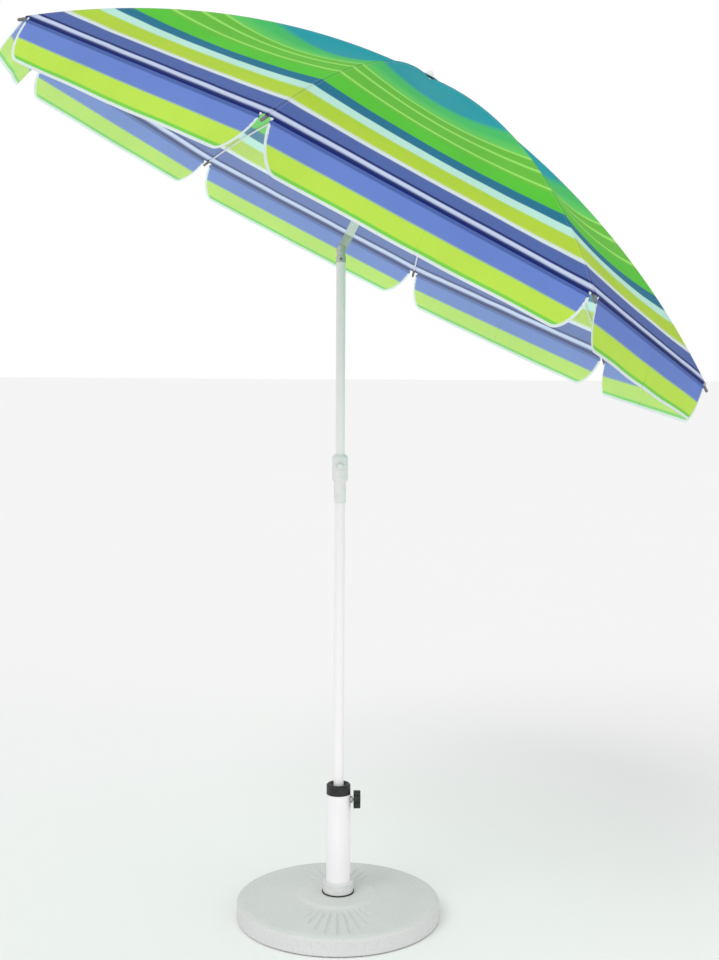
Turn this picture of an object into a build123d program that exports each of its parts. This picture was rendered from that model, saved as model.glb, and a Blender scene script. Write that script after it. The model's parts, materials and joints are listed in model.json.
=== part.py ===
"""Tilting beach umbrella on a round weighted base.

Millimetres, +Z up. The origin is the middle of the base's underside, on the pole's axis.
The canopy leans towards +X. It is built upright about the tilt pin and then leaned over.
"""
from build123d import *
import os
from math import atan2, cos, degrees, radians, sin, tan

os.makedirs("parts", exist_ok=True)

# clearances
FREE = 0.3            # between pieces that move past each other
RUNNING = 0.05        # a pin in the hole it turns in

# base and sleeve
BASE_RADIUS = 250.0
BASE_HEIGHT = 62.0
BASE_RIM_HEIGHT = 44.0
PANEL_RADIUS = 92.0
FOOT_RING_INSET = 15.0
FOOT_RING_WIDTH = 20.0
FOOT_RING_DEPTH = 6.0
BASE_LIFT = 3.0
BASE_EDGE_ROUND = 4.0
BASE_SHOULDER = 14.0
BASE_SHOULDER_RISE = 5.0
PANEL_STEP = 10.0
PANEL_STEP_DROP = 5.0
PLATE_RADIUS = 65.0
PLATE_ROOM = 2.0
PLATE_HOLE = 6.0
PLATE_THICKNESS = 5.0
PLATE_RECESS_TOP = 14.0
PLATE_BOLT_CIRCLE = 48.0
BOLT_SHANK = 4.0
BOLT_LENGTH = 30.0
BOLT_HEAD_ACROSS_FLATS = 13.0
BOLT_HEAD_HEIGHT = 5.2
SLEEVE_RADIUS = 30.0
SLEEVE_WALL = 2.0
SLEEVE_TOP = 311.0
GASKET_WIDTH = 9.5
GASKET_HEIGHT = 3.0
SOCKET_WIDTH = 7.0
SOCKET_HEIGHT = 28.0
SOCKET_CHAMFER = 4.0
REDUCER_HEIGHT = 25.0
REDUCER_SKIRT = 6.0
REDUCER_INSET = 0.6
REDUCER_RIM = 7.0
REDUCER_CHAMFER = 3.0
REDUCER_DISH = 10.0

# clamping screws
SLEEVE_SCREW_BELOW_TOP = 15.0
SCREW_RADIUS = 4.0
SCREW_TIP_GAP = 0.5
NUT_RADIUS = 8.5
NUT_HEIGHT = 5.0
KNOB_RADIUS = 22.0
KNOB_THICKNESS = 17.0
KNOB_LOBES = 5
KNOB_GAP = 2.0
KNOB_CAP = 4.0
WING_SCREW_RADIUS = 3.0
WING_SPAN = 34.0
WING_THICKNESS = 4.0
WING_HEIGHT = 14.0
WING_HUB_RADIUS = 7.0
WING_GAP = 1.5
WING_CAP = 3.0

# poles
POLE_RADIUS = 12.5
POLE_WALL = 1.1
POLE_TOP = 1108.0
SPIKE_LENGTH = 26.0
SPIKE_TIP_RADIUS = 5.0
SPIKE_PLUG = 35.0
INNER_POLE_GAP = 0.4
INNER_POLE_WALL = 1.0
INNER_POLE_OVERLAP = 418.0
COLLAR_SKIRT = 78.0
COLLAR_SKIRT_WALL = 2.0
COLLAR_WALL = 6.5
COLLAR_CONE = 6.0
COLLAR_BODY_BELOW = 22.0
COLLAR_BODY_ABOVE = 38.0
COLLAR_SCREW_ABOVE = 12.0
COLLAR_BOSS_RADIUS = 9.0
COLLAR_BOSS_LENGTH = 6.0

# tilt knuckle
TILT_HEIGHT = 1632.0
TILT_ANGLE = 26.7
FORK_OVERHANG = 0.5
FORK_BELOW = 28.0
KNUCKLE_PLUG = 32.0
FORK_FLOOR_GAP = 2.0
TONGUE_THICKNESS = 10.0
TONGUE_NECK_GAP = 1.5
TONGUE_TOP = 40.0
TILT_PIN_RADIUS = 3.0
BUTTON_BELOW = 20.0
BUTTON_RADIUS = 3.1
BUTTON_PROUD = 3.5
BUTTON_LENGTH = 10.0
BUTTON_BORE_END = 2.0
SPRING_WIRE = 0.35
SPRING_TURNS = 5

# canopy, about the tilt pin, with the stem along +Z
RIBS = 8
FIRST_RIB_AZIMUTH = -147.75
APEX_HEIGHT = 453.0
RIB_PIVOT_OUT = 10.0
RIB_PIVOT_BELOW_APEX = 12.0
RIM_RADIUS = 897.0
RIM_DROP = 361.0
RIB_BEND = 15.5
RIB_WIRE = 2.5
LUG_THICKNESS = 3.0
LUG_RADIUS = 4.5
LUG_LENGTH = 18.0
RING_WIRE = 1.0
HUB_FLANGE = 6.0
CROWN_BELOW = 8.0
CROWN_ABOVE = 6.0
SLOT_FLOOR_OUT = 4.0
POLE_TOP_ABOVE_PIVOT = 2.0
STRUT_LENGTH = 205.0
STRUT_WIRE = 2.0
STRUT_LIFT = 10.22
STRUT_PIN = 1.5
STRUT_EAR = 1.6
STRUT_EAR_RADIUS = 3.8
STRUT_FORK = 14.0
STRUT_THROAT = 2.0
STRUT_RIVET_HEAD = 0.6
TAB_THICKNESS = 3.0
TIP_WALL = 1.0
TIP_LENGTH = 30.0
TIP_OVERLAP = 14.0

# runner
RUNNER_BELOW = 7.0
RUNNER_ABOVE = 7.0
RUNNER_SLEEVE = 37.0
RUNNER_WALL = 3.6
RUNNER_BORE_GAP = 0.4
RUNNER_SLOT = 5.0
RUNNER_RING_INSET = 3.5
STRUT_NOSE = 2.2
CATCH_AZIMUTH = -80.25
CATCH_WIDTH = 6.0
CATCH_THICKNESS = 2.5
CATCH_OUT = 3.0
CATCH_HEIGHT = 24.0
CATCH_BASE = 12.0
CATCH_PIN = 1.2
CATCH_EAR = 2.0
CATCH_NOSE = 4.0
CATCH_BARREL = 2.4
CATCH_EAR_HEIGHT = 6.0

# cloth
CLOTH = 1.0
CLOTH_HOLE = 14.0
CLOTH_RISE = 8.5
CLOTH_OVER_END = 1.5
CAP_RADIUS = 30.0
CAP_THICKNESS = 2.0
CAP_ABOVE_CLOTH = 2.0
FINIAL_RADIUS = 9.5
FINIAL_HEIGHT = 15.0
FINIAL_STEM = 4.0
FLAP_HEIGHT = 96.0
FLAP_FLARE = 12.0
FLAP_TOP_INSET = 9.0
FLAP_SIDE_INSET = 18.0
FLAP_SIDE_HEIGHT = 28.0
FLAP_BOTTOM_INSET = 42.0
FLAP_CORNER = 24.0

# sizes that follow from the ones above
foot_ring_radius = BASE_RADIUS - FOOT_RING_INSET
plate_low = PLATE_RECESS_TOP - PLATE_THICKNESS
sleeve_bore = SLEEVE_RADIUS - SLEEVE_WALL
socket_low = BASE_HEIGHT + GASKET_HEIGHT
sleeve_screw_height = SLEEVE_TOP - SLEEVE_SCREW_BELOW_TOP
reducer_radius = SLEEVE_RADIUS - REDUCER_INSET
knob_low = SLEEVE_RADIUS + NUT_HEIGHT + KNOB_GAP
pole_bore = POLE_RADIUS - POLE_WALL
spike_low = PLATE_RECESS_TOP + 2 * FREE
pole_low = spike_low + SPIKE_LENGTH
collar_radius = POLE_RADIUS + COLLAR_WALL
boss_reach = collar_radius + COLLAR_BOSS_LENGTH
wing_low = boss_reach + WING_GAP
collar_screw_height = POLE_TOP + COLLAR_SCREW_ABOVE
inner_pole_radius = pole_bore - INNER_POLE_GAP
inner_bore = inner_pole_radius - INNER_POLE_WALL
fork_radius = inner_pole_radius + FORK_OVERHANG
fork_slot_depth = inner_pole_radius + FORK_FLOOR_GAP
tongue_neck = fork_radius + TONGUE_NECK_GAP
button_height = TILT_HEIGHT - BUTTON_BELOW
button_front = fork_radius + BUTTON_PROUD
rib_pivot_radius = inner_pole_radius + RIB_PIVOT_OUT
hub_radius = rib_pivot_radius + HUB_FLANGE
runner_wall = inner_pole_radius + RUNNER_BORE_GAP + RUNNER_WALL
runner_ring_radius = rib_pivot_radius - RUNNER_RING_INSET
catch_radius = runner_wall + CATCH_OUT
tip_radius = RIB_WIRE + TIP_WALL
pivot_height = APEX_HEIGHT - RIB_PIVOT_BELOW_APEX
tip_height = APEX_HEIGHT - RIM_DROP
rib_slope = degrees(atan2(pivot_height - tip_height, RIM_RADIUS - rib_pivot_radius))
rib_lean = rib_slope - RIB_BEND
strut_angle = rib_slope - STRUT_LIFT
cap_low = pivot_height + CLOTH_RISE + CLOTH + CAP_ABOVE_CLOTH

LEAN = Pos(0, 0, TILT_HEIGHT) * Rot(0, TILT_ANGLE, 0)


def save(node, shape):
    """Write one node."""
    export_step(shape, f"parts/{node}.step")


def turned(outline):
    """Solid of revolution about Z of a closed outline of (radius, height) points."""
    face = make_face(Polyline(*[(r, 0, z) for r, z in outline], close=True))
    return revolve(face, Axis.Z)


def tube(outer, inner, low, high):
    """Round tube on Z between two heights."""
    return turned([(inner, low), (outer, low), (outer, high), (inner, high)])


def rod(radius, start, end):
    """Round bar from one point to another."""
    start, end = Vector(*start), Vector(*end)
    return Solid.make_cylinder(radius, (end - start).length, Plane(start, z_dir=end - start))


def block(low, high):
    """Box between two corners."""
    size = [h - l for l, h in zip(low, high)]
    middle = [(h + l) / 2 for l, h in zip(low, high)]
    return Pos(*middle) * Box(*size)


def azimuth(k):
    """Azimuth of rib k, counted from 1."""
    return FIRST_RIB_AZIMUTH + (k - 1) * 360 / RIBS


def spaced(shape, count, start=0.0):
    """Copies of a shape evenly round Z."""
    return [Rot(0, 0, start + i * 360 / count) * shape for i in range(count)]


# ---------------------------------------------------------------- base and sleeve
def upright(radius, low, high):
    """Round bar on Z between two heights."""
    return rod(radius, (0, 0, low), (0, 0, high))


def bolt_holes(top):
    """Four round cutters on the bolt circle, from the ground up to a height."""
    return spaced(Pos(PLATE_BOLT_CIRCLE, 0, 0) * upright(BOLT_SHANK, 0, top), 4, 45)


def base_disc():
    """Dished disc with a raised panel, a through hole, a plate recess and a foot groove."""
    body = turned([
        (SLEEVE_RADIUS, BASE_LIFT), (BASE_RADIUS, BASE_LIFT), (BASE_RADIUS, BASE_RIM_HEIGHT),
        (BASE_RADIUS - BASE_SHOULDER, BASE_RIM_HEIGHT + BASE_SHOULDER_RISE),
        (PANEL_RADIUS + PANEL_STEP, BASE_HEIGHT - PANEL_STEP_DROP),
        (PANEL_RADIUS, BASE_HEIGHT), (SLEEVE_RADIUS, BASE_HEIGHT)])
    circles = body.edges().filter_by(GeomType.CIRCLE)
    body = fillet([e for e in circles if abs(e.radius - BASE_RADIUS) < 0.01], BASE_EDGE_ROUND)
    body -= upright(PLATE_RADIUS + PLATE_ROOM, 0, PLATE_RECESS_TOP)
    body -= foot_ring()
    for cut in bolt_holes(plate_low + BOLT_LENGTH + 1):
        body -= cut
    return body


def foot_ring():
    """Ring under the disc, half sunk in its groove."""
    return tube(foot_ring_radius, foot_ring_radius - FOOT_RING_WIDTH, 0, FOOT_RING_DEPTH)


def sleeve_plate():
    """Round plate with four bolt holes."""
    plate = tube(PLATE_RADIUS, PLATE_HOLE, plate_low, PLATE_RECESS_TOP)
    for cut in bolt_holes(PLATE_RECESS_TOP + 1):
        plate -= cut
    return plate


def sleeve_bolts():
    """Four hex bolts, heads under the plate."""
    head = extrude(RegularPolygon(BOLT_HEAD_ACROSS_FLATS / 2, 6, major_radius=False), BOLT_HEAD_HEIGHT)
    bolt = Pos(0, 0, plate_low - BOLT_HEAD_HEIGHT) * head
    bolt += upright(BOLT_SHANK, plate_low, plate_low + BOLT_LENGTH)
    return Compound(spaced(Pos(PLATE_BOLT_CIRCLE, 0, 0) * bolt, 4, 45))


def screw_hole(reach):
    """Cutter for the sleeve screw's hole, along +X."""
    return rod(SCREW_RADIUS + FREE, (0, 0, sleeve_screw_height), (reach, 0, sleeve_screw_height))


def base_sleeve():
    """Upright tube with the screw's hole near its mouth."""
    body = tube(SLEEVE_RADIUS, sleeve_bore, PLATE_RECESS_TOP, SLEEVE_TOP)
    return body - screw_hole(SLEEVE_RADIUS + 1)


def screw_nut():
    """Round nut welded to the sleeve's side."""
    reach = SLEEVE_RADIUS + NUT_HEIGHT
    nut = rod(NUT_RADIUS, (SLEEVE_RADIUS - 4, 0, sleeve_screw_height), (reach, 0, sleeve_screw_height))
    return nut - screw_hole(reach + 1) - upright(SLEEVE_RADIUS, 0, SLEEVE_TOP)


def socket_collar():
    """Short collar round the foot of the sleeve, chamfered at its top."""
    outer, top = SLEEVE_RADIUS + SOCKET_WIDTH, socket_low + SOCKET_HEIGHT
    return turned([
        (SLEEVE_RADIUS, socket_low), (outer, socket_low), (outer, top - SOCKET_CHAMFER),
        (outer - SOCKET_CHAMFER, top), (SLEEVE_RADIUS, top)])


def reducer_collar():
    """Ring in the sleeve's mouth with a dished top and a short skirt."""
    bore = POLE_RADIUS + FREE
    low = SLEEVE_TOP + FREE
    top = low + REDUCER_HEIGHT
    skirt = sleeve_bore - FREE
    return turned([
        (bore, SLEEVE_TOP - REDUCER_SKIRT), (skirt, SLEEVE_TOP - REDUCER_SKIRT), (skirt, low),
        (reducer_radius, low), (reducer_radius, top - REDUCER_CHAMFER),
        (reducer_radius - REDUCER_CHAMFER, top), (reducer_radius - REDUCER_RIM, top),
        (bore, top - REDUCER_DISH)])


# ---------------------------------------------------------------- clamping screws
def sleeve_screw():
    """Plain stem from just off the pole to the end of the knob."""
    tip = POLE_RADIUS + SCREW_TIP_GAP
    end = knob_low + KNOB_THICKNESS - KNOB_CAP
    return rod(SCREW_RADIUS, (tip, 0, sleeve_screw_height), (end, 0, sleeve_screw_height))


def lobed_knob(radius, thickness, lobes):
    """Round knob with scalloped sides, along +Z from 0."""
    knob = Solid.make_cylinder(radius, thickness, Plane.XY)
    scallop = rod(radius * 0.36, (radius * 1.12, 0, -1), (radius * 1.12, 0, thickness + 1))
    for cut in spaced(scallop, lobes):
        knob -= cut
    return knob


def sleeve_knob():
    """Lobed knob on the sleeve screw."""
    knob = lobed_knob(KNOB_RADIUS, KNOB_THICKNESS, KNOB_LOBES)
    knob = fillet(knob.edges().group_by(Axis.Z)[-1], 2)
    knob -= upright(SCREW_RADIUS + RUNNING, -1, KNOB_THICKNESS - KNOB_CAP)
    return Pos(knob_low, 0, sleeve_screw_height) * Rot(0, 90, 0) * knob


def height_screw():
    """Plain stem from just off the inner pole to the end of the wing's hub."""
    tip = inner_pole_radius + SCREW_TIP_GAP
    end = wing_low + WING_HEIGHT - WING_CAP
    return rod(WING_SCREW_RADIUS, (0, -tip, collar_screw_height), (0, -end, collar_screw_height))


def height_wing():
    """Wing with a round hub."""
    hub = Solid.make_cylinder(WING_HUB_RADIUS, WING_HEIGHT, Plane.XY)
    with BuildSketch(Plane.XZ) as outline:
        with BuildLine():
            half = WING_SPAN / 2
            Polyline((-4, 2), (4, 2), (half - 3, WING_HEIGHT - 4), (half, WING_HEIGHT + 4),
                     (half - 6, WING_HEIGHT + 5), (4, WING_HEIGHT - 2), (-4, WING_HEIGHT - 2),
                     (-half + 6, WING_HEIGHT + 5), (-half, WING_HEIGHT + 4),
                     (-half + 3, WING_HEIGHT - 4), close=True)
        make_face()
    wing = hub + extrude(outline.sketch, WING_THICKNESS / 2, both=True)
    wing -= upright(WING_SCREW_RADIUS + RUNNING, -1, WING_HEIGHT - WING_CAP)
    return Pos(0, -wing_low, collar_screw_height) * Rot(90, 0, 0) * wing


# ---------------------------------------------------------------- poles
def pole_spike():
    """Blunt cone with a plug that fills the tube's end."""
    return turned([
        (0, spike_low), (SPIKE_TIP_RADIUS, spike_low), (POLE_RADIUS, pole_low), (pole_bore, pole_low),
        (pole_bore, pole_low + SPIKE_PLUG), (0, pole_low + SPIKE_PLUG)])


def height_collar():
    """Clamping collar with a slim skirt, a wider body and a boss for the screw."""
    low = POLE_TOP - COLLAR_SKIRT
    shoulder = POLE_TOP - COLLAR_BODY_BELOW
    top = POLE_TOP + COLLAR_BODY_ABOVE
    skirt = POLE_RADIUS + COLLAR_SKIRT_WALL
    body = turned([
        (POLE_RADIUS, low), (skirt, low), (skirt, shoulder - COLLAR_CONE),
        (collar_radius, shoulder), (collar_radius, top - COLLAR_CONE), (collar_radius - 4, top),
        (pole_bore, top), (pole_bore, POLE_TOP), (POLE_RADIUS, POLE_TOP)])
    boss = rod(COLLAR_BOSS_RADIUS, (0, -collar_radius + 4, collar_screw_height),
               (0, -boss_reach, collar_screw_height))
    hole = rod(WING_SCREW_RADIUS + FREE, (0, 0, collar_screw_height),
               (0, -boss_reach - 1, collar_screw_height))
    return body + boss - hole


# ---------------------------------------------------------------- tilt knuckle
def tilt_fork():
    """Forked cap on the inner pole. The fork's ends are round about the pin."""
    low = TILT_HEIGHT - FORK_BELOW
    body = upright(fork_radius, low, TILT_HEIGHT + fork_radius)
    keep = rod(fork_radius, (0, -20, TILT_HEIGHT), (0, 20, TILT_HEIGHT))
    keep += block((-20, -20, low), (20, 20, TILT_HEIGHT))
    body = body & keep
    body += upright(inner_bore, low - KNUCKLE_PLUG, low)
    half = TONGUE_THICKNESS / 2 + FREE
    body -= block((-20, -half, TILT_HEIGHT - fork_slot_depth), (20, half, TILT_HEIGHT + 20))
    body -= rod(TILT_PIN_RADIUS, (0, -20, TILT_HEIGHT), (0, 20, TILT_HEIGHT))
    return body - rod(BUTTON_RADIUS + FREE, (0, -20, button_height), (0, BUTTON_BORE_END, button_height))


def tilt_pin():
    """Plain pin across the fork, a little domed at its ends."""
    reach = fork_radius + 1
    pin = rod(TILT_PIN_RADIUS, (0, -reach, TILT_HEIGHT), (0, reach, TILT_HEIGHT))
    return chamfer(pin.edges().filter_by(GeomType.CIRCLE), 0.6)


def tilt_button():
    """Press button in the front of the fork."""
    button = rod(BUTTON_RADIUS, (0, -button_front, button_height),
                 (0, BUTTON_LENGTH - button_front, button_height))
    return chamfer(button.edges().group_by(Axis.Y)[0], 0.8)


def tilt_spring():
    """Coil spring between the button and the end of its bore."""
    start = BUTTON_LENGTH - button_front
    room = BUTTON_BORE_END - start
    pitch = room / (SPRING_TURNS + 1)
    coil = Edge.make_helix(pitch, room - 3 * SPRING_WIRE, BUTTON_RADIUS - 1)
    section = Plane(origin=coil @ 0, z_dir=coil % 0) * Circle(SPRING_WIRE)
    spring = sweep(section, path=coil, is_frenet=True)
    return Pos(0, start + 1.5 * SPRING_WIRE, button_height) * Rot(-90, 0, 0) * spring


def tilt_tongue():
    """Flat tongue between the fork's arms, with a round neck and a plug for the upper pole."""
    half = TONGUE_THICKNESS / 2
    body = upright(inner_pole_radius, -inner_pole_radius, TONGUE_TOP)
    keep = block((-20, -20, tongue_neck), (20, 20, TONGUE_TOP))
    keep += block((-20, -half, 0), (20, half, tongue_neck))
    keep += rod(inner_pole_radius, (0, -half, 0), (0, half, 0))
    body = body & keep
    body += upright(inner_bore, TONGUE_TOP, TONGUE_TOP + KNUCKLE_PLUG)
    return body - rod(TILT_PIN_RADIUS + RUNNING, (0, -20, 0), (0, 20, 0))


# ---------------------------------------------------------------- canopy frame
def bowed(start, end, bend):
    """Circular arc in the XZ plane, bowed upwards, whose ends turn by bend from the chord."""
    chord = Vector(end[0] - start[0], 0, end[1] - start[1])
    middle = Vector((start[0] + end[0]) / 2, 0, (start[1] + end[1]) / 2)
    rise = chord.length / 2 * tan(radians(bend / 2))
    normal = Vector(-chord.Z, 0, chord.X).normalized()
    top = middle + normal * rise
    return Edge.make_three_point_arc((start[0], 0, start[1]), top, (end[0], 0, end[1]))


rib_line = bowed((rib_pivot_radius, pivot_height), (RIM_RADIUS, tip_height), RIB_BEND)
cloth_line = bowed((CLOTH_HOLE, pivot_height + CLOTH_RISE + CLOTH),
                   (RIM_RADIUS + CLOTH_OVER_END, tip_height + tip_radius + FREE), RIB_BEND)
strut_joint = (rib_pivot_radius + STRUT_LENGTH * cos(radians(strut_angle)),
               pivot_height - STRUT_LENGTH * sin(radians(strut_angle)))
runner_height = pivot_height - 2 * STRUT_LENGTH * sin(radians(strut_angle))


def eye(centre, radius, thickness):
    """Flat disc across Y at a point of the XZ plane."""
    return rod(radius, (centre[0], -thickness / 2, centre[1]), (centre[0], thickness / 2, centre[1]))


def wire_between(start, end):
    """The rib's wire between two shares of its length."""
    path = rib_line.trim(start, end)
    section = Plane(origin=path @ 0, z_dir=path % 0) * Circle(RIB_WIRE)
    return sweep(section, path=path)


def rib():
    """Bent wire with a flat eye at the crown and a tab below for the strut's pin."""
    body = wire_between((LUG_LENGTH - 4) / rib_line.length, 1)
    pivot = (rib_pivot_radius, pivot_height)
    lug = block((0, -LUG_THICKNESS / 2, -LUG_RADIUS), (LUG_LENGTH, LUG_THICKNESS / 2, LUG_RADIUS))
    body += Pos(pivot[0], 0, pivot[1]) * Rot(0, rib_lean, 0) * lug + eye(pivot, LUG_RADIUS, LUG_THICKNESS)
    body -= eye(pivot, RING_WIRE + FREE, LUG_THICKNESS + 2)
    tab_share = STRUT_LENGTH / rib_line.length
    tab_height = (rib_line @ tab_share).Z - strut_joint[1]
    tab = block((-STRUT_EAR_RADIUS, -TAB_THICKNESS / 2, 0),
                (STRUT_EAR_RADIUS, TAB_THICKNESS / 2, tab_height))
    slope = rib_lean + 2 * RIB_BEND * tab_share
    body += Pos(strut_joint[0], 0, strut_joint[1]) * Rot(0, slope, 0) * tab
    body += eye(strut_joint, STRUT_EAR_RADIUS, TAB_THICKNESS)
    return body - eye(strut_joint, STRUT_PIN + RUNNING, TAB_THICKNESS + 2)


def rib_tip():
    """Cap on the rib's end with a rounded nose."""
    end, along = rib_line @ 1, rib_line % 1
    back = end - along * TIP_OVERLAP
    front = back + along * TIP_LENGTH
    cap = rod(tip_radius, tuple(back), tuple(front))
    cap = fillet(cap.edges().filter_by(GeomType.CIRCLE).sort_by_distance(front)[0], tip_radius - 0.6)
    return cap - wire_between(1 - 2 * TIP_OVERLAP / rib_line.length, 1)


def stretcher():
    """Strut: a fork with its rivet at the rib, a wire, and a rounded nose at the runner."""
    joint = Vector(strut_joint[0], 0, strut_joint[1])
    nose = Vector(rib_pivot_radius, 0, runner_height)
    along = (nose - joint).normalized()
    gap = TAB_THICKNESS / 2 + FREE
    outer = gap + STRUT_EAR
    arm = block((0, -outer, -STRUT_EAR_RADIUS), (STRUT_FORK, outer, STRUT_EAR_RADIUS))
    arm -= block((-1, -gap, -10), (STRUT_EAR_RADIUS + STRUT_THROAT, gap, 10))
    lean = -degrees(atan2(along.Z, along.X))
    body = Pos(*joint) * Rot(0, lean, 0) * arm
    ears = eye(strut_joint, STRUT_EAR_RADIUS, 2 * outer) - eye(strut_joint, STRUT_EAR_RADIUS + 1, 2 * gap)
    body += ears
    body += eye(strut_joint, STRUT_PIN, 2 * (outer + STRUT_RIVET_HEAD))
    body += rod(STRUT_WIRE, tuple(joint + along * (STRUT_FORK - 2)), tuple(nose))
    return body + Pos(*nose) * Sphere(STRUT_NOSE)


def hub_slots(floor, outer, width, low, high):
    """Eight radial slots, cut right through a hub's height, one for each rib."""
    slot = block((floor, -width / 2, low - 1), (outer + 2, width / 2, high + 1))
    return spaced(slot, RIBS, FIRST_RIB_AZIMUTH)


def ring(radius, wire, height):
    """Closed wire ring on Z."""
    return Pos(0, 0, height) * Torus(radius, wire)


def crown():
    """Slotted hub on the upper pole's end."""
    low, high = pivot_height - CROWN_BELOW, pivot_height + CROWN_ABOVE
    pole_end = pivot_height + POLE_TOP_ABOVE_PIVOT
    hub = turned([
        (inner_pole_radius, low), (hub_radius, low), (hub_radius, high), (0, high),
        (0, pole_end), (inner_pole_radius, pole_end)])
    slot_floor = inner_pole_radius + SLOT_FLOOR_OUT
    for cut in hub_slots(slot_floor, hub_radius, LUG_THICKNESS + 2 * FREE, low, high):
        hub -= cut
    return hub - ring(rib_pivot_radius, RING_WIRE, pivot_height)


def runner():
    """Sliding hub: a slotted flange on a sleeve with a window and two ears for the catch."""
    bore = inner_pole_radius + RUNNER_BORE_GAP
    low, high = runner_height - RUNNER_BELOW, runner_height + RUNNER_ABOVE
    top = runner_height + RUNNER_SLEEVE
    hub = turned([(bore, low), (hub_radius, low), (hub_radius, high), (runner_wall, high),
                  (runner_wall, top), (bore, top)])
    slot_floor = runner_ring_radius - RING_WIRE - 0.5
    for cut in hub_slots(slot_floor, hub_radius, RUNNER_SLOT, low, high):
        hub -= cut
    hub -= ring(runner_ring_radius, RING_WIRE, runner_height)
    nose_low = runner_height + CATCH_BASE
    half = CATCH_WIDTH / 2
    window = block((0, -half - 0.5, nose_low - 1.5), (hub_radius, half + 0.5, nose_low + CATCH_NOSE + 2))
    ear_low = nose_low + (CATCH_HEIGHT - CATCH_EAR_HEIGHT) / 2
    ear = block((runner_wall - 1, half + FREE, ear_low),
                (catch_radius + CATCH_THICKNESS + 1, half + FREE + CATCH_EAR, ear_low + CATCH_EAR_HEIGHT))
    ears = ear + mirror(ear, Plane.XZ) - catch_pin_rod(CATCH_WIDTH + 20)
    return hub - Rot(0, 0, CATCH_AZIMUTH) * window + Rot(0, 0, CATCH_AZIMUTH) * ears


def catch_pin_rod(length, gap=0.0):
    """Bar through the catch's ears, along Y before it is turned to its azimuth."""
    x = catch_radius + CATCH_THICKNESS / 2
    z = runner_height + CATCH_BASE + CATCH_HEIGHT / 2
    return rod(CATCH_PIN + gap, (x, -length / 2, z), (x, length / 2, z))


def catch_pin():
    """Pin across the two ears."""
    return Rot(0, 0, CATCH_AZIMUTH) * catch_pin_rod(CATCH_WIDTH + 2 * (FREE + CATCH_EAR))


def catch_lever():
    """Rocking lever with a nose that reaches through the runner's window."""
    low = runner_height + CATCH_BASE
    half = CATCH_WIDTH / 2
    plate = block((catch_radius, -half, low), (catch_radius + CATCH_THICKNESS, half, low + CATCH_HEIGHT))
    nose = block((inner_pole_radius + 2 * FREE, -half + 0.2, low),
                 (catch_radius + 1, half - 0.2, low + CATCH_NOSE))
    barrel_x = catch_radius + CATCH_THICKNESS / 2
    barrel_z = low + CATCH_HEIGHT / 2
    barrel = rod(CATCH_BARREL, (barrel_x, -half, barrel_z), (barrel_x, half, barrel_z))
    lever = plate + nose + barrel - catch_pin_rod(CATCH_WIDTH + 2, RUNNING)
    return Rot(0, 0, CATCH_AZIMUTH) * lever


# ---------------------------------------------------------------- cloth
def crown_cap():
    """Washer over the cloth."""
    top = cap_low + CAP_THICKNESS
    return turned([(FINIAL_STEM, cap_low), (CAP_RADIUS, cap_low), (CAP_RADIUS, cap_low + 0.8),
                   (CAP_RADIUS - 4, top), (FINIAL_STEM, top)])


def finial():
    """Round knob with a stem down to the crown."""
    base = cap_low + CAP_THICKNESS
    top = base + FINIAL_HEIGHT
    return turned([
        (0, pivot_height + CROWN_ABOVE), (FINIAL_STEM, pivot_height + CROWN_ABOVE), (FINIAL_STEM, base),
        (FINIAL_RADIUS, base), (FINIAL_RADIUS, base + 5), (FINIAL_RADIUS - 2, base + 10),
        (FINIAL_RADIUS - 5, top - 1), (0, top)])


def canopy_panels():
    """Eight gores, each a ruled surface between two neighbouring rib lines."""
    gores = []
    for k in range(1, RIBS + 1):
        near = Rot(0, 0, azimuth(k)) * cloth_line
        far = Rot(0, 0, azimuth(k + 1)) * cloth_line
        sheet = Face.make_surface_from_curves(near, far)
        upwards = sheet.normal_at(sheet.center()).Z > 0
        gores.append(Solid.thicken(sheet, CLOTH if upwards else -CLOTH))
    return Compound(gores)


def flap(k):
    """Flat hanging flap on the rim between ribs k and k + 1, about the tilt pin."""
    end = cloth_line @ 1
    left = (Rot(0, 0, azimuth(k)) * Vertex(*end)).center()
    right = (Rot(0, 0, azimuth(k + 1)) * Vertex(*end)).center()
    along = (right - left).normalized()
    width = (right - left).length
    down = Vector(0, 0, -1)
    outward = down.cross(along).normalized()
    middle = (left + right) * 0.5
    if outward.X * middle.X + outward.Y * middle.Y < 0:
        outward = outward * -1
    hang = down * cos(radians(FLAP_FLARE)) + outward * sin(radians(FLAP_FLARE))
    start = CLOTH + FREE
    outline = [
        (FLAP_TOP_INSET, start), (width - FLAP_TOP_INSET, start),
        (width - FLAP_SIDE_INSET, FLAP_SIDE_HEIGHT), (width - FLAP_BOTTOM_INSET, FLAP_HEIGHT),
        (FLAP_BOTTOM_INSET, FLAP_HEIGHT), (FLAP_SIDE_INSET, FLAP_SIDE_HEIGHT)]
    face = make_face(Polyline(*outline, close=True))
    corners = face.vertices().group_by(Axis.Y)[-1]
    face = fillet(corners, FLAP_CORNER)
    sheet = Plane(origin=left, x_dir=along, z_dir=along.cross(hang)) * face
    return extrude(sheet, CLOTH)


def valance_flaps():
    """Eight flaps."""
    return Compound([flap(k) for k in range(1, RIBS + 1)])


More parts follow.
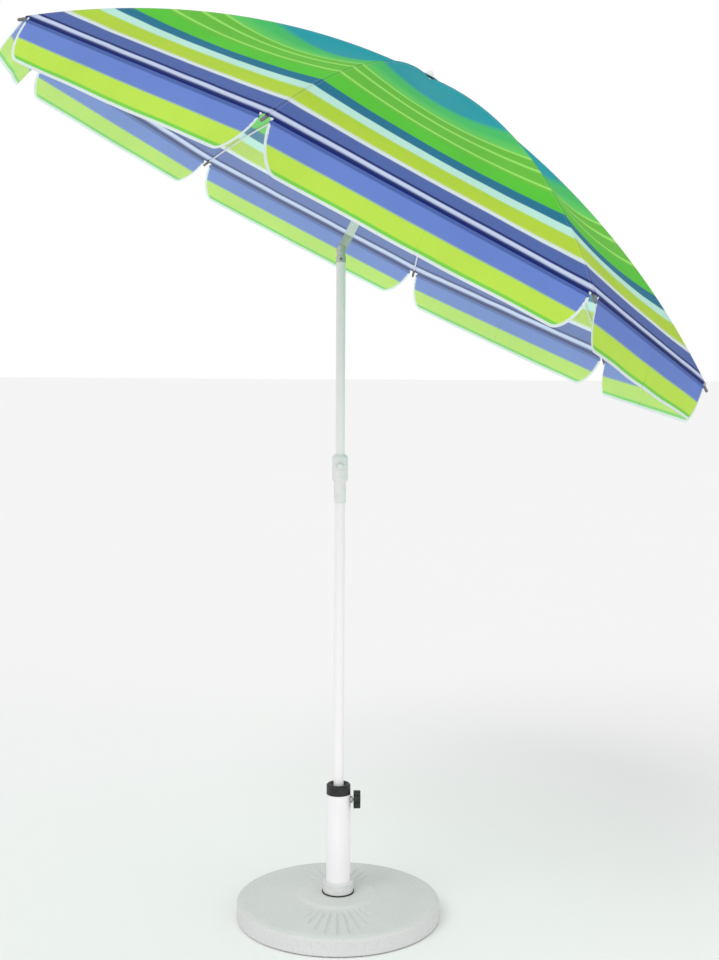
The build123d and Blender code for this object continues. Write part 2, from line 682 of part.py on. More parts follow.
# ---------------------------------------------------------------- write every node
save("base_disc", base_disc())
save("foot_ring", foot_ring())
save("sleeve_plate", sleeve_plate())
save("sleeve_bolts", sleeve_bolts())
save("base_sleeve", base_sleeve())
save("foot_gasket", tube(SLEEVE_RADIUS + GASKET_WIDTH, SLEEVE_RADIUS, BASE_HEIGHT, socket_low))
save("socket_collar", socket_collar())
save("screw_nut", screw_nut())
save("reducer_collar", reducer_collar())
save("sleeve_screw", sleeve_screw())
save("sleeve_knob", sleeve_knob())
save("pole_spike", pole_spike())
save("lower_pole", tube(POLE_RADIUS, pole_bore, pole_low, POLE_TOP))
save("height_collar", height_collar())
save("height_screw", height_screw())
save("height_wing", height_wing())
inner_pole_low = POLE_TOP - INNER_POLE_OVERLAP
save("mid_pole", tube(inner_pole_radius, inner_bore, inner_pole_low, TILT_HEIGHT - FORK_BELOW))
save("tilt_fork", tilt_fork())
save("tilt_pin", tilt_pin())
save("tilt_button", tilt_button())
save("tilt_spring", tilt_spring())
save("tilt_tongue", LEAN * tilt_tongue())
pole_end = pivot_height + POLE_TOP_ABOVE_PIVOT
save("upper_pole", LEAN * tube(inner_pole_radius, inner_bore, TONGUE_TOP, pole_end))
save("crown", LEAN * crown())
save("crown_ring", LEAN * ring(rib_pivot_radius, RING_WIRE, pivot_height))
save("crown_cap", LEAN * crown_cap())
save("finial", LEAN * finial())
save("runner", LEAN * runner())
save("runner_ring", LEAN * ring(runner_ring_radius, RING_WIRE, runner_height))
save("catch_pin", LEAN * catch_pin())
save("catch_lever", LEAN * catch_lever())
save("canopy_panels", LEAN * canopy_panels())
save("valance_flaps", LEAN * valance_flaps())
for k in range(1, RIBS + 1):
    turn = LEAN * Rot(0, 0, azimuth(k))
    save(f"rib_{k}", turn * rib())
    save(f"rib_tip_{k}", turn * rib_tip())
    save(f"stretcher_{k}", turn * stretcher())
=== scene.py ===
"""Looks of a tilting beach umbrella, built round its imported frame.

Metres, +Z up, the pole on the Z axis, the canopy leaning towards +X.
Cloth, hems, stitched pockets and the cast base are made here. Tubes, hubs, ribs and screws
are the frame's own nodes with better finishes.
"""
import json
import math

import bpy
import numpy as np
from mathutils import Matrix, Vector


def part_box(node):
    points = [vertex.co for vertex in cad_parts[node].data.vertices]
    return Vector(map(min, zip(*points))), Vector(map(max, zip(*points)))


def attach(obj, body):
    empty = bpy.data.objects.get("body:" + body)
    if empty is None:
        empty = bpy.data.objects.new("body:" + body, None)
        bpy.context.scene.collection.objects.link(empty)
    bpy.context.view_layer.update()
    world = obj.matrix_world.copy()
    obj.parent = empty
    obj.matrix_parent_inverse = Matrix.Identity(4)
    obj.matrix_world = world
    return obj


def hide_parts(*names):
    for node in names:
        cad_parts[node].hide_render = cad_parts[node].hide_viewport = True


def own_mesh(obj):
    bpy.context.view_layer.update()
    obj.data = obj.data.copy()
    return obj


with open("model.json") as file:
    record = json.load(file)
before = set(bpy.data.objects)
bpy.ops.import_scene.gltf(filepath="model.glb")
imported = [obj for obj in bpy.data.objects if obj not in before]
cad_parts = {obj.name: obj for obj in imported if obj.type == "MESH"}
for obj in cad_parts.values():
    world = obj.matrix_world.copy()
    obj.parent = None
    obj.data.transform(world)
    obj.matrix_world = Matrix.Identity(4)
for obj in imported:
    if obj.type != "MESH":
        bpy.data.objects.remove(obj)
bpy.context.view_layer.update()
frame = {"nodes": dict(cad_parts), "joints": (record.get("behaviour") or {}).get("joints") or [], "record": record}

# ---------------------------------------------------------------- sizes
RIBS = 8
CLOTH_THICK = 0.0008
CLOTH_HOLE = 0.013
CLOTH_UNDER_CAP = 0.001
CLOTH_BOW = math.radians(15.5)
SAG = 0.022
SAG_TOWARDS_CROWN = 0.7
SEAM_RIDGE = 0.0007
SEAM_RIDGE_WIDTH = 0.004
BAND_EDGES = np.linspace(0, 1, 7)
BAND_KEEPS = (0.36, 0.31, 0.26, 0.21, 0.16, 0.12)
BAND_ROWS = 22
HALF_COLUMNS = 26
CROWDING_AT_RIB = 1.25
NO_HEM = 1.0

POCKET_HALF_WIDTH = 0.0028
STITCH_LINE = 0.0045
STITCH_LENGTH = 0.004
THREAD_PITCH = 0.0011

FLAP_HEIGHT = 0.096
FLAP_FLARE = math.radians(12)
FLAP_TOP_GAP = 0.009
FLAP_ROUND = 0.050
FLAP_ROUNDNESS = 1.8
FLAP_WAVE = 0.004
FLAP_ROWS = 26
FLAP_COLUMNS = 44
FLAP_FIRST_COLUMN = 0.03
FLAP_CROWDING = 1.6
HEM_WIDTH = 0.006
HEM_THICK = 0.0007

BASE_LIFT = 0.003
BASE_RIM_UP = 0.044
FOOT_RING_WIDTH = 0.020
PLATE_CLEARANCE = 0.002
LONGEST_SIDE = 0.006
SIDE_FLUTE_LOW = 0.014
SIDE_FLUTE_HIGH = 0.034
SIDE_FLUTE_FADE = 0.004
SIDE_FLUTE_HALF_ANGLE = math.radians(23)
FLUTE_FADE = 0.012
BASE_SHOULDER = (0.236, 0.049)
PANEL_EDGE = 0.092
PANEL_STEP = (0.102, 0.057)
FAN_HALF_ANGLE = math.radians(33)
FAN_SPACING = math.radians(7.5)
FAN_START = 0.106
FAN_END = 0.232
FLUTE_HALF_WIDTH = 0.0056
FLUTE_DEPTH = 0.0042

CAMERA_PLACE = (-0.0065, -3.4174, 1.4026)
CAMERA_YAW = math.radians(0.897)
CAMERA_PITCH = math.radians(-5.305)
CAMERA_ROLL = math.radians(0.351)
CAMERA_LENS = 53.41

# ---------------------------------------------------------------- the frame's own places
joints = {j["name"]: j for j in frame["joints"]}
STEM = -np.array(joints["runner_slide"]["axis"])
PIVOTS = np.array([joints[f"rib_fold_{k}"]["pos_m"] for k in range(1, RIBS + 1)])
SIDEWAYS = np.array([joints[f"rib_fold_{k}"]["axis"] for k in range(1, RIBS + 1)])
OUTWARD = np.cross(SIDEWAYS, STEM)
CROWN = PIVOTS.mean(0)


def points_of(node):
    """A node's points at rest, one row each."""
    mesh = frame["nodes"][node].data
    flat = np.empty(len(mesh.vertices) * 3)
    mesh.vertices.foreach_get("co", flat)
    return flat.reshape(-1, 3)


def seen_along(node, rib):
    """A node's distances out along a rib from the stem's axis, and up from the rib pivots."""
    points = points_of(node) - CROWN
    return points @ OUTWARD[rib], points @ STEM


cloth_reach, cloth_height = seen_along("canopy_panels", 0)
outermost = cloth_reach.argmax()
RIM_OUT, RIM_UP = cloth_reach[outermost], cloth_height[outermost]
CLOTH_TOP = seen_along("crown_cap", 0)[1].min() - CLOTH_UNDER_CAP


# ---------------------------------------------------------------- meshes
def grid_faces(rows, columns, closed_rows=False, closed_columns=False):
    """Quads of a grid whose points are listed row by row, facing along (down the rows) x (across them).
    A closed direction joins its last line to its first."""
    i = np.arange(rows if closed_rows else rows - 1)[:, None]
    j = np.arange(columns if closed_columns else columns - 1)[None, :]
    a = i * columns + j
    b = i * columns + (j + 1) % columns
    c = ((i + 1) % rows) * columns + (j + 1) % columns
    d = ((i + 1) % rows) * columns + j
    return np.stack([a, d, c, b], -1).reshape(-1, 4)


def piece(name, points, faces, finishes, layers=None):
    """A smooth mesh object of points and quads, with UV layers given as two numbers per point."""
    mesh = bpy.data.meshes.new(name)
    mesh.from_pydata(points.reshape(-1, 3).tolist(), [], faces.tolist())
    for finish in finishes:
        mesh.materials.append(finish)
    mesh.polygons.foreach_set("use_smooth", np.ones(len(faces), bool))
    edges = np.empty(len(mesh.loops), np.int32)
    mesh.loops.foreach_get("edge_index", edges)
    border = np.bincount(edges, minlength=len(mesh.edges)) == 1
    mesh.edges.foreach_set("use_edge_sharp", border)
    corners = np.empty(len(mesh.loops), np.int32)
    mesh.loops.foreach_get("vertex_index", corners)
    for layer, values in (layers or {}).items():
        uv = mesh.uv_layers.new(name=layer)
        uv.data.foreach_set("uv", values.reshape(-1, 2)[corners].astype(np.float32).ravel())
    mesh.update()
    made = bpy.data.objects.new(name, mesh)
    bpy.context.scene.collection.objects.link(made)
    return made


def surface_area(points):
    """Area of a grid of points, from the cross product of each quad's diagonals."""
    p = points
    one, other = p[1:, 1:] - p[:-1, :-1], p[1:, :-1] - p[:-1, 1:]
    return float(np.linalg.norm(np.cross(one, other), axis=-1).sum() / 2)


def unit(vectors):
    """Vectors made one long."""
    return vectors / np.linalg.norm(vectors, axis=-1, keepdims=True)


def smooth_step(value, low, high):
    """0 below low, 1 above high, and the cubic 3x^2 - 2x^3 between."""
    x = np.clip((value - low) / (high - low), 0, 1)
    return x * x * (3 - 2 * x)


# ---------------------------------------------------------------- material maths
class Value:
    """A socket's value in a finish. Arithmetic on it adds Math nodes."""

    def __init__(self, finish, socket):
        self.finish, self.socket = finish, socket

    def maths(self, operation, *terms, clamp=False):
        return self.finish.node("ShaderNodeMath", {"operation": operation, "use_clamp": clamp},
                                dict(enumerate(terms)))

    def __add__(self, other):
        return self.maths("ADD", self, other)

    def __sub__(self, other):
        return self.maths("SUBTRACT", self, other)

    def __rsub__(self, other):
        return self.maths("SUBTRACT", other, self)

    def __mul__(self, other):
        return self.maths("MULTIPLY", self, other)

    def __truediv__(self, other):
        return self.maths("DIVIDE", self, other)

    __radd__ = __add__
    __rmul__ = __mul__

    def sine(self):
        return self.maths("SINE", self)

    def size(self):
        return self.maths("ABSOLUTE", self)

    def past(self, edge, soft):
        """0 before an edge and 1 past it, over a soft width."""
        return self.maths("MULTIPLY_ADD", self, 1 / soft, 0.5 - edge / soft, clamp=True)


class Finish:
    """One material. node() adds any node, and keyword names set the shader's own sockets."""

    def __init__(self, name, **sockets):
        self.material = bpy.data.materials.new(name)
        self.material.use_nodes = True
        self.tree = self.material.node_tree
        self.shader = self.tree.nodes["Principled BSDF"]
        for socket, value in sockets.items():
            self.set(socket.replace("_", " "), value)

    def set(self, socket, value):
        self.plug(self.shader.inputs[socket], value)

    def plug(self, socket, value):
        if isinstance(value, Value):
            self.tree.links.new(value.socket, socket)
        else:
            socket.default_value = value

    def node(self, kind, settings=None, inputs=None, output=0):
        """A node with its settings, then its sockets' values or links. A ramp's stops are a setting."""
        made = self.tree.nodes.new(kind)
        for name, value in (settings or {}).items():
            if name == "stops":
                ramp = made.color_ramp
                while len(ramp.elements) < len(value):
                    ramp.elements.new(0.5)
                for element, (place, colour) in zip(ramp.elements, value):
                    element.position, element.color = place, colour
            else:
                setattr(made, name, value)
        for key, value in (inputs or {}).items():
            self.plug(made.inputs[key], value)
        return Value(self, made.outputs[output])

    def place(self):
        return self.node("ShaderNodeTexCoord", output="Object")

    def noise(self, scale, detail=2.0, where=None):
        return self.node("ShaderNodeTexNoise", None,
                         {"Vector": where or self.place(), "Scale": scale, "Detail": detail})

    def mix(self, share, one, other, blend="MIX"):
        """Colour one where the share is 0 and the other where it is 1."""
        return self.node("ShaderNodeMix", {"data_type": "RGBA", "blend_type": blend},
                         {0: share, 6: one, 7: other}, output=2)

    def bump(self, height, distance, strength=1.0):
        self.set("Normal", self.node("ShaderNodeBump", None,
                                     {"Strength": strength, "Distance": distance, "Height": height}))


def ink(red, green, blue):
    """A colour as printed, 0 to 255, as linear light with full cover."""
    parts = [c / 255 for c in (red, green, blue)]
    return (*[c / 12.92 if c <= 0.04045 else ((c + 0.055) / 1.055) ** 2.4 for c in parts], 1.0)


def grey(level):
    return ink(level, level, level)


# ---------------------------------------------------------------- the cloth's print
TEAL = ink(20, 164, 176)
MINT = ink(70, 200, 105)
SPRING = ink(104, 214, 96)
PALE_LIME = ink(160, 236, 104)
LEAF = ink(106, 200, 60)
BRIGHT = ink(88, 206, 52)
DEEP_TEAL = ink(22, 118, 150)
ICE = ink(196, 244, 228)
ACID = ink(186, 222, 60)
CHALK = ink(226, 238, 240)
SLATE = ink(82, 108, 176)
NAVY = ink(20, 38, 112)
FROST = ink(206, 220, 250)
PERIWINKLE = ink(112, 140, 216)
LIME = ink(199, 240, 86)
GRASS = ink(128, 222, 84)
HEM_WHITE = ink(232, 244, 240)

# where each stripe starts, how soft its edge is, and its ink. The cloth runs from 0 at the crown
# to 1 at the rim seam, and the flaps go on from there to 2 at their hems.
STRIPES = [
    (0.000, 0.004, TEAL), (0.412, 0.040, MINT), (0.500, 0.060, SPRING),
    (0.540, 0.004, PALE_LIME), (0.551, 0.004, LEAF), (0.592, 0.004, PALE_LIME), (0.606, 0.004, LEAF),
    (0.664, 0.004, PALE_LIME), (0.676, 0.004, LEAF), (0.690, 0.010, BRIGHT),
    (0.760, 0.005, DEEP_TEAL), (0.803, 0.005, ICE), (0.838, 0.006, ACID), (0.902, 0.004, CHALK),
    (0.918, 0.004, SLATE), (0.965, 0.002, NAVY), (0.975, 0.002, FROST), (0.990, 0.002, NAVY),
    (1.045, 0.010, SLATE), (1.120, 0.030, PERIWINKLE), (1.490, 0.050, LIME), (1.870, 0.030, GRASS),
]
STRIPES_IN_A_RAMP = 11


def stripes(finish, along):
    """The print's colour for a place along the cloth: ramps of a few stripes each, one after another."""
    colour = None
    for first in range(0, len(STRIPES), STRIPES_IN_A_RAMP):
        part = STRIPES[first:first + STRIPES_IN_A_RAMP]
        low, high = part[0][0], 2.0 if first + STRIPES_IN_A_RAMP >= len(STRIPES) else part[-1][0] + 0.1
        stops = [(0.0, part[0][2])]
        for before, (start, soft, tint) in zip(part, part[1:]):
            stops.append(((start - soft / 2 - low) / (high - low), before[2]))
            stops.append(((start + soft / 2 - low) / (high - low), tint))
        ramp = finish.node("ShaderNodeValToRGB", {"stops": stops}, {0: (along - low) / (high - low)})
        colour = ramp if colour is None else finish.mix(along.past(low, part[0][1]), colour, ramp)
    return colour


def striped_cloth(name, paleness, painted_glow):
    """Printed polyester: stripes, white hems, plain weave, stitch lines and a little crumple.
    The side away from the print is paler. Both sides also give off their own colour as a painted glow, stronger
    inside, in place of light shining through the cloth."""
    # Emission_Strength is a painted glow: the cloth gives off its own colour as light, in place of light shining
    # through it.
    finish = Finish(name, Roughness=0.78, Sheen_Weight=0.04, Sheen_Roughness=0.5,
                    Specular_IOR_Level=0.12, Emission_Strength=painted_glow)
    print_map = finish.node("ShaderNodeUVMap", {"uv_map": "print"})
    along = finish.node("ShaderNodeSeparateXYZ", None, {0: print_map}, output=0)
    from_hem = finish.node("ShaderNodeSeparateXYZ", None, {0: print_map}, output=1)
    weave_map = finish.node("ShaderNodeUVMap", {"uv_map": "weave"})
    across = finish.node("ShaderNodeSeparateXYZ", None, {0: weave_map}, output=0)
    down = finish.node("ShaderNodeSeparateXYZ", None, {0: weave_map}, output=1)
    place = finish.place()
    wobble = (finish.noise(9.0, 2.0, place) - 0.5) * 0.006
    colour = stripes(finish, along + wobble)
    hem = 1 - from_hem.past(HEM_WIDTH, 0.0012)
    colour = finish.mix(hem, colour, HEM_WHITE)
    fade = finish.noise(5.0, 3.0, place)
    colour = finish.mix(fade * 0.5, colour, grey(205), "MULTIPLY")
    seam = 1 - across.size().past(POCKET_HALF_WIDTH, 0.0012)
    stitches = (across.size() - STITCH_LINE).size().past(0.0005, 0.0003) * -1 + 1
    dashes = (down * (2 * math.pi / STITCH_LENGTH)).sine().past(-0.2, 0.3)
    colour = finish.mix(seam * 0.10, colour, ink(30, 60, 70))
    colour = finish.mix(stitches * dashes * 0.25, colour, ink(235, 240, 240))
    threads = (across * (2 * math.pi / THREAD_PITCH)).sine() * (down * (2 * math.pi / THREAD_PITCH)).sine()
    colour = finish.mix(threads.past(0.0, 1.6) * 0.14, colour, ink(20, 40, 60), "MULTIPLY")
    colour = finish.mix(paleness, colour, ink(236, 240, 255))
    finish.set("Base Color", colour)
    # painted glow: the emission takes the cloth's full printed colour
    finish.set("Emission Color", colour)
    crumple = finish.noise(22.0, 4.0, place)
    finish.bump(threads * 0.10 + crumple * 1.2 + seam * 0.5 + stitches * dashes * 0.3, 0.0012, 0.7)
    return finish.material


# ---------------------------------------------------------------- hard finishes
def enamelled_tube():
    """White powder-coated steel: fine orange peel and a faint greying."""
    finish = Finish("white_enamel", Coat_Weight=0.25, Coat_Roughness=0.25)
    tone = finish.noise(7.0, 3.0)
    finish.set("Base Color", finish.mix(tone * 0.5, ink(249, 245, 248), ink(238, 233, 236)))
    finish.set("Roughness", tone * 0.12 + 0.28)
    finish.bump(finish.noise(900.0, 1.0), 0.00012, 0.35)
    return finish.material


def moulded(name, light, dark, rough, grain):
    """Moulded plastic or rubber: an even tone with a fine matt grain and slight scuffs."""
    finish = Finish(name, Specular_IOR_Level=0.4)
    scuff = finish.noise(60.0, 5.0)
    finish.set("Base Color", finish.mix(scuff.past(0.55, 0.3) * 0.6, light, dark))
    finish.set("Roughness", scuff * 0.2 + rough)
    finish.bump(finish.noise(grain, 2.0), 0.0002, 0.4)
    return finish.material


def steel(name, tone, rough, brush):
    """Bare or plated steel with fine drawn lines round its axis."""
    finish = Finish(name, Metallic=1.0)
    long_way = finish.node("ShaderNodeMapping", None, {"Vector": finish.place(), "Scale": (1, 1, brush)})
    lines = finish.noise(120.0, 3.0, long_way)
    finish.set("Base Color", finish.mix(lines * 0.5, tone, grey(90)))
    finish.set("Roughness", lines * 0.2 + rough)
    finish.bump(lines, 0.0001, 0.3)
    return finish.material


def cast_stone():
    """Pale grey cast base: fine dark and light speckle and a soft mottle."""
    finish = Finish("cast_base", Specular_IOR_Level=0.35)
    speckle = finish.noise(420.0, 4.0)
    mottle = finish.noise(9.0, 4.0)
    colour = finish.mix(mottle * 0.6, grey(222), grey(204))
    colour = finish.mix(speckle.past(0.63, 0.05) * 0.35, colour, grey(150))
    colour = finish.mix((1 - speckle).past(0.64, 0.05) * 0.3, colour, grey(240))
    finish.set("Base Color", colour)
    finish.set("Roughness", speckle * 0.15 + 0.52)
    finish.bump(speckle + mottle * 2, 0.0003, 0.5)
    return finish.material


FINISHES = {
    "cast_base": cast_stone(),
    "dark_rubber": moulded("dark_rubber", grey(40), grey(62), 0.62, 500.0),
    "galvanised": steel("galvanised", grey(205), 0.34, 1.0),
    "white_enamel": enamelled_tube(),
    "white_plastic": moulded("white_plastic", grey(236), grey(222), 0.38, 700.0),
    "pale_plastic": moulded("pale_plastic", grey(222), grey(206), 0.45, 600.0),
    "black_plastic": moulded("black_plastic", grey(30), grey(48), 0.36, 650.0),
    "grey_metal": steel("grey_metal", grey(228), 0.42, 6.0),
    "spring_steel": steel("spring_steel", grey(190), 0.25, 9.0),
    "grey_plastic": moulded("grey_plastic", grey(112), grey(132), 0.42, 650.0),
}
for row in frame["record"]["subparts"]:
    if row["material_slot"] in FINISHES:
        for slot in frame["nodes"][row["node"]].material_slots:
            slot.material = FINISHES[row["material_slot"]]

# the last number is each finish's painted glow, its emission strength, stronger on the inside
CLOTH = [striped_cloth("striped_cloth", 0.0, 0.05), striped_cloth("striped_cloth_inside", 0.14, 0.36)]


# ---------------------------------------------------------------- the canopy
def cloth_arc(t):
    """Distances out and up along the cloth over a rib: a circular arc from crown to rim,
    whose ends turn by CLOTH_BOW from its chord, with t even along it."""
    start, end = np.array([CLOTH_HOLE, CLOTH_TOP]), np.array([RIM_OUT, RIM_UP])
    chord = end - start
    radius = np.hypot(*chord) / 2 / math.sin(CLOTH_BOW)
    first = math.atan2(chord[1], chord[0]) + CLOTH_BOW
    angle = first - 2 * CLOTH_BOW * t
    out = start[0] + radius * (math.sin(first) - np.sin(angle))
    up = start[1] + radius * (np.cos(angle) - math.cos(first))
    return out, up


def over_rib(rib, t):
    """Points of the cloth right over a rib."""
    out, up = cloth_arc(t)
    return CROWN + out[..., None] * OUTWARD[rib % RIBS] + up[..., None] * STEM


def gore(rib, side, t, share):
    """Points and outward normals of the cloth from a rib towards its neighbour: straight between
    the two rib lines, then sunk inwards by SAG times 4w(1 - w) across and a sine along."""
    near, far = over_rib(rib, t), over_rib(rib + side, t)
    step = 1e-4
    turn = (1 - share)[..., None] * (over_rib(rib, t + step) - near)
    turn = turn + share[..., None] * (over_rib(rib + side, t + step) - far)
    normal = unit(np.cross(turn, far - near) * side)
    normal = normal * np.sign(normal @ STEM)[..., None]
    depth = SAG * 4 * share * (1 - share) * np.sin(np.pi * np.clip(t, 0, 1) ** SAG_TOWARDS_CROWN)
    points = near * (1 - share)[..., None] + far * share[..., None]
    return points - normal * depth[..., None], normal


def fanned(rib, t):
    """A grid of cloth either side of a rib, from the middle of one gore to the middle of the next."""
    places = np.linspace(-1, 1, 2 * HALF_COLUMNS + 1)
    places = np.sign(places) * np.abs(places) ** CROWDING_AT_RIB
    t_grid, s_grid = np.meshgrid(t, places, indexing="ij")
    left, left_out = gore(rib, -1, t_grid, np.abs(s_grid) / 2)
    right, right_out = gore(rib, 1, t_grid, np.abs(s_grid) / 2)
    on_right = (s_grid >= 0)[..., None]
    points = np.where(on_right, right, left)
    normal = np.where(on_right, right_out, left_out)
    across = (points - over_rib(rib, t_grid)) @ SIDEWAYS[rib]
    ridge = SEAM_RIDGE * np.exp(-(across / SEAM_RIDGE_WIDTH) ** 2)
    return points + normal * ridge[..., None], across, t_grid


def wall(made):
    """Gives a cloth piece its thickness inwards, with the paler finish inside."""
    solid = made.modifiers.new("thickness", "SOLIDIFY")
    solid.thickness = CLOTH_THICK
    solid.offset = -1
    solid.material_offset = 1
    return made


def cloth_piece(name, points, across, along, from_hem, down, rib):
    """A sheet of cloth that rides on a rib."""
    layers = {"print": np.stack([along, from_hem], -1), "weave": np.stack([across, down], -1)}
    made = piece(name, points, grid_faces(*points.shape[:2]), CLOTH, layers)
    wall(made)
    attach(made, f"rib_{rib + 1}")
    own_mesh(made)
    surface_area(points)
    return made


arc_length = float(np.hypot(RIM_OUT - CLOTH_HOLE, RIM_UP - CLOTH_TOP) * CLOTH_BOW / math.sin(CLOTH_BOW))

for rib in range(RIBS):
    for band, keep in enumerate(BAND_KEEPS):
        t = np.linspace(BAND_EDGES[band], BAND_EDGES[band + 1], BAND_ROWS + 1)
        points, across, t_grid = fanned(rib, t)
        sheet = cloth_piece(
            f"canopy_cloth_{rib + 1}_{band + 1}", points, across, t_grid, np.full_like(t_grid, NO_HEM),
            t_grid * arc_length, rib)
        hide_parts("canopy_panels")


# ---------------------------------------------------------------- the hanging flaps
def flap_half(rib, side):
    """Half a flap, from the gap at a rib to the middle of the rim between two ribs.
    Its edge is a superellipse corner: depth is height times (1 - (1 - s)^p)^(1/p), with s the
    distance in from the gap over FLAP_ROUND. It hangs along the stem, turned outwards about the
    rim chord by FLAP_FLARE, with shallow waves that grow towards the hem."""
    corner, other = over_rib(rib, np.array(1.0)), over_rib(rib + side, np.array(1.0))
    along = unit(other - corner)
    half = np.linalg.norm(other - corner) / 2
    out = np.cross(STEM, along)
    out = out * np.sign(out @ (corner + other - 2 * CROWN))
    hang = out * math.sin(FLAP_FLARE) - STEM * math.cos(FLAP_FLARE)
    face = np.cross(along, hang) * np.sign(np.cross(along, hang) @ out)
    s = np.linspace(FLAP_FIRST_COLUMN, 1, FLAP_COLUMNS) ** FLAP_CROWDING
    x = FLAP_TOP_GAP + s * (half - FLAP_TOP_GAP)
    in_corner = np.clip(1 - (x - FLAP_TOP_GAP) / FLAP_ROUND, 0, 1)
    depth = FLAP_HEIGHT * (1 - in_corner ** FLAP_ROUNDNESS) ** (1 / FLAP_ROUNDNESS)
    v = np.linspace(0, 1, FLAP_ROWS)
    drop = v[:, None] * depth
    x = np.broadcast_to(x, drop.shape)
    edge = np.stack([x[-1], depth], -1)
    edge = np.concatenate([[[FLAP_TOP_GAP, 0.0]], edge])
    gaps = np.stack([x, drop], -1)[:, :, None] - edge[None, None]
    from_hem = np.linalg.norm(gaps, axis=-1).min(-1)
    fall = drop / FLAP_HEIGHT
    wave = FLAP_WAVE * fall ** 1.5 * (np.cos(np.pi * x / half) + 0.5 * np.cos(3 * np.pi * x / half + rib))
    tape = HEM_THICK * (1 - smooth_step(from_hem, HEM_WIDTH - 0.001, HEM_WIDTH + 0.001))
    points = corner + x[..., None] * along + drop[..., None] * hang + (wave + tape)[..., None] * face
    return points, x, drop, from_hem


def flap_pair(rib):
    """The two half flaps beside a rib as one grid, with the gap between them left open."""
    left, right = flap_half(rib, -1), flap_half(rib, 1)
    joined = [np.concatenate([a[:, ::-1], b], 1) for a, b in zip(left, right)]
    joined[1] = np.concatenate([-left[1][:, ::-1], right[1]], 1)
    return joined


for rib in range(RIBS):
    points, across, drop, from_hem = flap_pair(rib)
    columns = points.shape[1]
    faces = grid_faces(*points.shape[:2])
    faces = faces[faces[:, 0] % columns != FLAP_COLUMNS - 1]
    print_places = np.stack([1 + drop / FLAP_HEIGHT, from_hem], -1)
    layers = {"print": print_places, "weave": np.stack([across, drop], -1)}
    flaps = piece(f"valance_{rib + 1}", points, faces, CLOTH, layers)
    wall(flaps)
    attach(flaps, f"rib_{rib + 1}")
    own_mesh(flaps)
    size = surface_area(points[:, :FLAP_COLUMNS]) + surface_area(points[:, FLAP_COLUMNS:])
    float(across.max() - across.min())
    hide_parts("valance_flaps")


# ---------------------------------------------------------------- the cast base
def rounded(corners, radii, steps=6):
    """A closed outline with each corner cut by a quadratic curve that starts and ends its radius away."""
    corners = np.array(corners, float)
    t = np.linspace(0, 1, steps)[:, None]
    parts = []
    for i, radius in enumerate(radii):
        here, before, after = corners[i], corners[i - 1], corners[(i + 1) % len(corners)]
        start, end = here + unit(before - here) * radius, here + unit(after - here) * radius
        parts.append((1 - t) ** 2 * start + 2 * t * (1 - t) * here + t ** 2 * end)
    return np.concatenate(parts)


def divided(outline, longest):
    """A closed outline with extra points so that no side is longer than a length."""
    parts = []
    for here, after in zip(outline, np.roll(outline, -1, 0)):
        count = max(1, int(np.ceil(np.linalg.norm(after - here) / longest)))
        parts.append(here + np.linspace(0, 1, count, endpoint=False)[:, None] * (after - here))
    return np.concatenate(parts)


def cast_base():
    """The base turned about Z from its section, with two fans of radial flutes sunk in its top
    and short flutes below them in its side. A flute's depth falls off from its line as a cosine."""
    low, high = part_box("base_disc")
    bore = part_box("base_sleeve")[1][0]
    recess_out, recess_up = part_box("sleeve_plate")[1][0] + PLATE_CLEARANCE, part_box("sleeve_plate")[1][2]
    ring_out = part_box("foot_ring")[1][0]
    ring_up, ring_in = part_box("foot_ring")[1][2], ring_out - FOOT_RING_WIDTH
    radius, top, rim = high[0], high[2], BASE_RIM_UP
    corners = [(bore, recess_up), (recess_out, recess_up), (recess_out, BASE_LIFT), (ring_in, BASE_LIFT),
               (ring_in, ring_up), (ring_out, ring_up), (ring_out, BASE_LIFT), (radius, BASE_LIFT),
               (radius, rim), BASE_SHOULDER, PANEL_STEP, (PANEL_EDGE, top), (bore, top)]
    underside = [0.0004, 0.0004, 0.0006, 0.0006, 0.0004, 0.0004, 0.0006]
    radii = underside + [0.003, 0.005, 0.004, 0.004, 0.003, 0.0006]
    section = divided(rounded(corners, radii), LONGEST_SIDE)
    fan = np.arange(-FAN_HALF_ANGLE, FAN_HALF_ANGLE, math.radians(0.4))
    plain = np.arange(FAN_HALF_ANGLE, math.pi - FAN_HALF_ANGLE, math.radians(2))
    turn = np.concatenate([fan, plain, fan + math.pi, plain + math.pi]) - math.pi / 2
    from_fan = np.abs((turn + math.pi / 2 + math.pi / 2) % math.pi - math.pi / 2)
    line = np.round(from_fan / FAN_SPACING) * FAN_SPACING
    r, z = section[:, 0][None, :], section[:, 1][None, :]
    off = np.abs(from_fan - line)[:, None] * r
    groove = 0.5 + 0.5 * np.cos(np.pi * np.clip(off / FLUTE_HALF_WIDTH, 0, 1))
    groove = groove * (from_fan < FAN_HALF_ANGLE)[:, None]
    reach = FAN_START + (FAN_END - FAN_START) * np.cos(line / FAN_HALF_ANGLE * 1.25)[:, None]
    on_top = smooth_step(r, FAN_START, FAN_START + FLUTE_FADE)
    on_top = on_top * (1 - smooth_step(r, reach - FLUTE_FADE, reach))
    sink = FLUTE_DEPTH * groove * on_top * (z > rim)
    on_side = smooth_step(z, SIDE_FLUTE_LOW, SIDE_FLUTE_LOW + SIDE_FLUTE_FADE)
    on_side = on_side * (1 - smooth_step(z, SIDE_FLUTE_HIGH - SIDE_FLUTE_FADE, SIDE_FLUTE_HIGH))
    on_side = on_side * (r > radius - 0.001)
    shrink = 0.5 * FLUTE_DEPTH * groove * on_side * (line < SIDE_FLUTE_HALF_ANGLE)[:, None]
    points = np.stack([(r - shrink) * np.cos(turn)[:, None], (r - shrink) * np.sin(turn)[:, None],
                       z - sink], -1)
    faces = grid_faces(*points.shape[:2], closed_rows=True, closed_columns=True)
    return piece("cast_base", points, faces, [FINISHES["cast_base"]])


base = cast_base()
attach(base, "base")
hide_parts("base_disc")


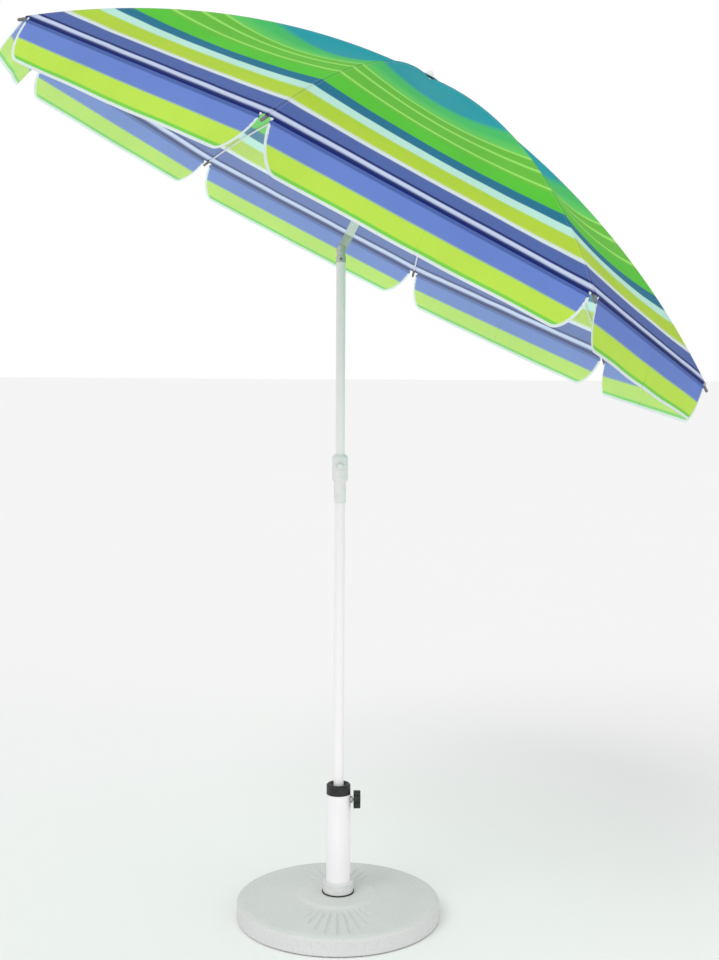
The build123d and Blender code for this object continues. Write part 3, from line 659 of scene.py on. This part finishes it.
# ---------------------------------------------------------------- floor, light and camera
def plain_finish(name, colour, rough):
    """A plain matt finish for the floor, with a trace of unevenness."""
    finish = Finish(name, Roughness=rough, Specular_IOR_Level=0.1)
    finish.set("Base Color", finish.mix(finish.noise(0.7) * 0.1, colour, grey(240)))
    return finish.material


def soft_sun(name, place, strength, softness):
    """Parallel light that comes from a place towards the origin, with soft-edged shadows."""
    data = bpy.data.lights.new(name, "SUN")
    data.energy, data.angle = strength, math.radians(softness)
    lamp = bpy.data.objects.new(name, data)
    bpy.context.scene.collection.objects.link(lamp)
    lamp.rotation_euler = Vector(place).to_track_quat("Z", "Y").to_euler()


FLOOR_HALF = 60.0
SKY_LIGHT = 0.72
SKY_SEEN = 1.0
corners = np.array([[[x, y, 0.0] for y in (-FLOOR_HALF, FLOOR_HALF)] for x in (-FLOOR_HALF, FLOOR_HALF)])
floor = piece("studio_floor", corners, grid_faces(2, 2), [plain_finish("studio_floor", grey(250), 0.9)])

soft_sun("key", (-2.6, -3.4, 4.6), 0.85, 35)
soft_sun("fill", (2.6, -3.6, 0.9), 0.60, 60)

world = bpy.data.worlds.new("studio")
world.use_nodes = True
sky = world.node_tree.nodes["Background"]
seen = world.node_tree.nodes.new("ShaderNodeLightPath").outputs["Is Camera Ray"]
brightness = world.node_tree.nodes.new("ShaderNodeMapRange")
brightness.inputs["To Min"].default_value = SKY_LIGHT
brightness.inputs["To Max"].default_value = SKY_SEEN
world.node_tree.links.new(seen, brightness.inputs["Value"])
world.node_tree.links.new(brightness.outputs["Result"], sky.inputs["Strength"])
sky.inputs["Color"].default_value = (1, 1, 1, 1)
bpy.context.scene.world = world
bpy.context.scene.view_settings.view_transform = "Standard"

forward = np.array([math.sin(CAMERA_YAW) * math.cos(CAMERA_PITCH),
                    math.cos(CAMERA_YAW) * math.cos(CAMERA_PITCH), math.sin(CAMERA_PITCH)])
level = np.array([math.cos(CAMERA_YAW), -math.sin(CAMERA_YAW), 0.0])
upright = np.cross(level, forward)
right = math.cos(CAMERA_ROLL) * level + math.sin(CAMERA_ROLL) * upright
upright = np.cross(right, forward)
camera = bpy.data.objects.new("camera", bpy.data.cameras.new("camera"))
bpy.context.scene.collection.objects.link(camera)
turned = np.eye(4)
turned[:3, 0], turned[:3, 1], turned[:3, 2], turned[:3, 3] = right, upright, -forward, CAMERA_PLACE
camera.matrix_world = Matrix(turned.tolist())
camera.data.sensor_width = 36.0
camera.data.lens = CAMERA_LENS
bpy.context.scene.camera = camera
